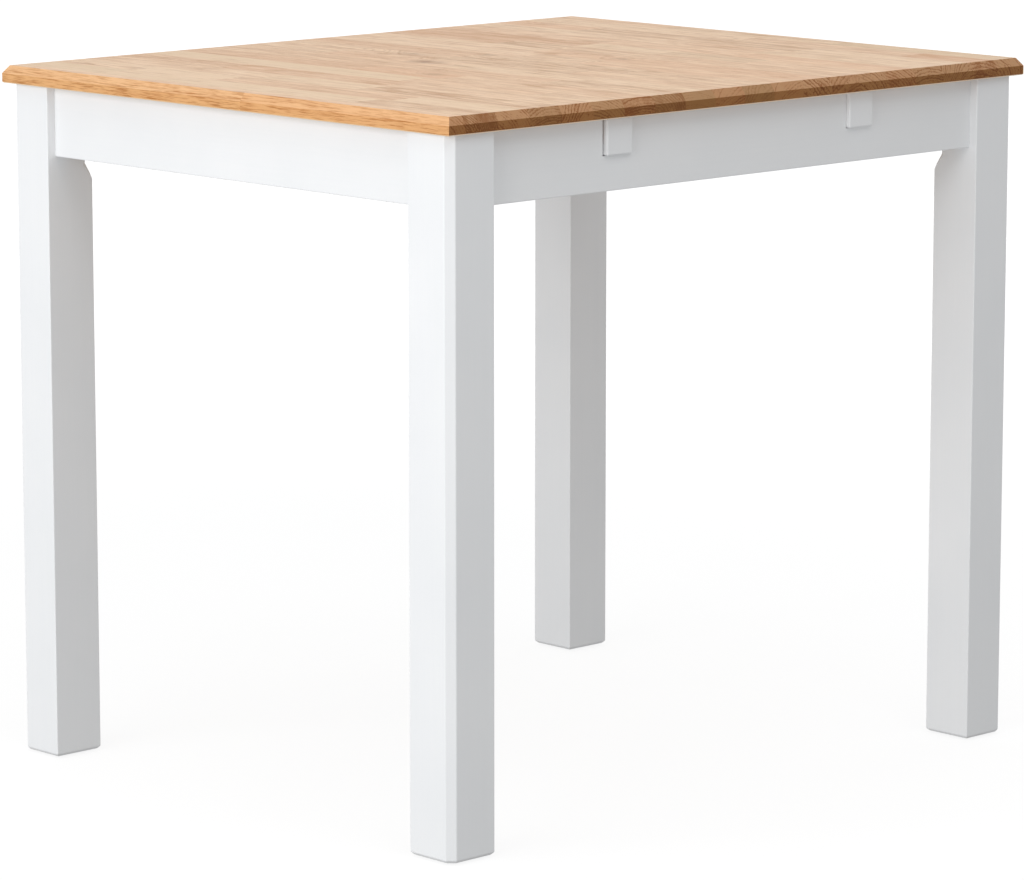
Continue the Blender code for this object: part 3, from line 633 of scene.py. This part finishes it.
def write_staves(mesh, owners, low):
    """Gives each face the vectors that the oak material reads.

    heart: X and Z of the growth rings' centre, and how it leans along the stave
    knot: the knot's X, Y and radius
    tone: how light the stave is, how warm, and its patch of the noise
    mark: the knot's strength, how wild the figure is, and the rings' spacing
    cut: 1 across the grain, the share of the band's painted shade, and 1 on the chamfer with its painted
    highlight
    """
    draw = random.Random(DRAW_SEED)
    staves = {}
    for column, rows in enumerate(STAVES):
        for row, (_, tone, warmth) in enumerate(rows):
            middle = low.x + (column * COLUMN_PITCH) * MM
            heart_x = middle + draw.uniform(-HEART_ASIDE, HEART_ASIDE) * MM
            heart_z = low.z - draw.uniform(*HEART_BELOW) * MM
            heart = (heart_x, heart_z, draw.uniform(-HEART_LEAN, HEART_LEAN))
            patch = draw.uniform(0, PATCHES)
            spacing = draw.uniform(*RING_SPACING) * MM
            figure = FIGURE.get((column, row), PLAIN_FIGURE)
            staves[column, row] = {
                "heart": heart,
                "knot": NO_KNOT,
                "tone": (tone, warmth, patch),
                "mark": (0.0, figure, spacing),
            }
    for column, across, from_front, radius, strength in KNOTS:
        row = 0
        reach = 0
        for length, _, _ in STAVES[column][:-1]:
            reach += length
            if from_front > reach:
                row += 1
        stave = staves[column, row]
        stave["knot"] = (low.x + across * MM, low.y + from_front * MM, radius * MM)
        stave["mark"] = (strength, *stave["mark"][1:])
    for name in ("heart", "knot", "tone", "mark"):
        layer = mesh.attributes.new(name, "FLOAT_VECTOR", "FACE")
        for item, ((column, row), cut) in zip(layer.data, owners):
            value = staves[column, row][name]
            if name == "tone" and row == 0 and cut[0]:
                value = (*FRONT_ENDS[column], value[2])
            item.vector = value
    layer = mesh.attributes.new("cut", "FLOAT_VECTOR", "FACE")
    for item, (_, cut) in zip(layer.data, owners):
        item.vector = cut


def make_top():
    """The oak top, which stands for the CAD's plain one."""
    mesh = build_oak_top()
    mesh.materials.append(oak_material())
    top = bpy.data.objects.new("oak_top", mesh)
    bpy.context.scene.collection.objects.link(top)
    bevel = top.modifiers.new("soften", "BEVEL")
    bevel.width = SOFTENED
    bevel.segments = 2
    bevel.limit_method = "ANGLE"
    bevel.angle_limit = math.radians(SOFTENED_ANGLE)
    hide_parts("tabletop")
    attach(top, "frame")


# Finishes of the pieces that stay as they are in the CAD

def give_finishes():
    """A node takes the first finish whose start matches its name."""
    lacquer = {axis: lacquer_material(axis) for axis in "xyz"}
    pine_x = plain_wood("raw_pine_x", "x", *PINE, PINE_LONG_RINGS)
    pine_left = plain_wood("raw_pine_a", "x", *PINE, PINE_BLOCK_RINGS, BLOCK_TURN)
    pine_right = plain_wood("raw_pine_b", "x", *PINE, PINE_BLOCK_RINGS, -BLOCK_TURN)
    beech_x = plain_wood("beech_dowel_x", "x", *BEECH, BEECH_RINGS)
    beech_z = plain_wood("beech_dowel_z", "z", *BEECH, BEECH_RINGS)
    rules = (
        ("leg_", lacquer["z"]),
        ("apron_front", lacquer_material("x", notched=True)),
        ("apron_back", lacquer["x"]),
        ("apron_", lacquer["y"]),
        ("bearer_", lacquer["y"]),
        ("corner_block_front_left", pine_left),
        ("corner_block_back_right", pine_left),
        ("corner_block_", pine_right),
        ("guide_rail", pine_x),
        ("rest_block_", pine_x),
        ("rail_dowel_", beech_x),
        ("stop_dowel_", beech_z),
        ("foot_glide_", plastic_material()),
        ("", zinc_material()),
    )
    for name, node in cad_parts.items():
        finish = next(material for start, material in rules if name.startswith(start))
        for slot in node.material_slots:
            slot.link = "OBJECT"
            slot.material = finish


# The studio

def area_light(name, at, target, width, height, power, colour):
    data = bpy.data.lights.new(name, "AREA")
    data.shape = "RECTANGLE"
    data.size = width
    data.size_y = height
    data.energy = power
    data.color = colour
    light = bpy.data.objects.new(name, data)
    bpy.context.scene.collection.objects.link(light)
    light.location = at
    light.rotation_euler = (Vector(target) - light.location).to_track_quat("-Z", "Y").to_euler()
    light.visible_camera = False


def make_world():
    """White to the camera and in reflections, and dimmer as a source of light."""
    world = bpy.data.worlds.new("studio")
    bpy.context.scene.world = world
    world.use_nodes = True
    tree = world.node_tree
    tree.nodes.clear()
    output = tree.nodes.new("ShaderNodeOutputWorld")
    dim = tree.nodes.new("ShaderNodeBackground")
    dim.inputs["Color"].default_value = (*SKY_COLOUR, 1.0)
    dim.inputs["Strength"].default_value = SKY
    white = tree.nodes.new("ShaderNodeBackground")
    white.inputs["Color"].default_value = (1.0, 1.0, 1.0, 1.0)
    ray = tree.nodes.new("ShaderNodeLightPath")
    either = tree.nodes.new("ShaderNodeMath")
    either.operation = "MAXIMUM"
    tree.links.new(ray.outputs["Is Camera Ray"], either.inputs[0])
    tree.links.new(ray.outputs["Is Glossy Ray"], either.inputs[1])
    mix = tree.nodes.new("ShaderNodeMixShader")
    tree.links.new(either.outputs[0], mix.inputs["Fac"])
    tree.links.new(dim.outputs[0], mix.inputs[1])
    tree.links.new(white.outputs[0], mix.inputs[2])
    tree.links.new(mix.outputs[0], output.inputs["Surface"])


def make_floor():
    """A pale floor that glows a little, so that it stays white with a faint shadow under the table."""
    body = bmesh.new()
    bmesh.ops.create_circle(body, cap_ends=True, radius=FLOOR_RADIUS, segments=64)
    mesh = bpy.data.meshes.new("studio_floor")
    body.to_mesh(mesh)
    body.free()
    r = Recipe("studio_floor")
    place = r.place()
    tone = r.remap(r.noise(place, 3.0, 2.0), *NOISE_RANGE, *FLOOR_CLOUDS)
    seen = r.remap(r.length(place), *FLOOR_FADE, FLOOR_SEEN, 1.0, smooth=True)
    is_camera = r.add("ShaderNodeLightPath").outputs["Is Camera Ray"]
    glow = r.scaled(r.minus(seen, FLOOR_GIVEN), is_camera, FLOOR_GIVEN)
    white = r.times(tone, FLOOR_WHITE)
    r.feed(r.shader.inputs["Base Color"], r.join(white, white, white))
    r.shader.inputs["Roughness"].default_value = 1.0
    r.shader.inputs["Specular IOR Level"].default_value = 0.0
    r.shader.inputs["Emission Color"].default_value = (1.0, 1.0, 1.0, 1.0)
    r.feed(r.shader.inputs["Emission Strength"], glow)
    mesh.materials.append(r.material)
    floor = bpy.data.objects.new("studio_floor", mesh)
    bpy.context.scene.collection.objects.link(floor)


def make_camera():
    """The camera, turned by its yaw and pitch, with no roll."""
    data = bpy.data.cameras.new("camera")
    data.lens = CAMERA_LENS
    data.sensor_width = CAMERA_SENSOR
    data.clip_end = CAMERA_FAR
    camera = bpy.data.objects.new("camera", data)
    bpy.context.scene.collection.objects.link(camera)
    camera.location = CAMERA_AT
    camera.rotation_euler = (math.radians(90 - CAMERA_PITCH), 0.0, math.radians(-CAMERA_YAW))
    bpy.context.scene.camera = camera


def make_studio():
    make_world()
    make_floor()
    for light in LIGHTS:
        area_light(*light)
    bpy.context.scene.view_settings.view_transform = "Standard"
    bpy.context.scene.view_settings.look = "None"


make_camera()
make_studio()
give_finishes()
make_top()
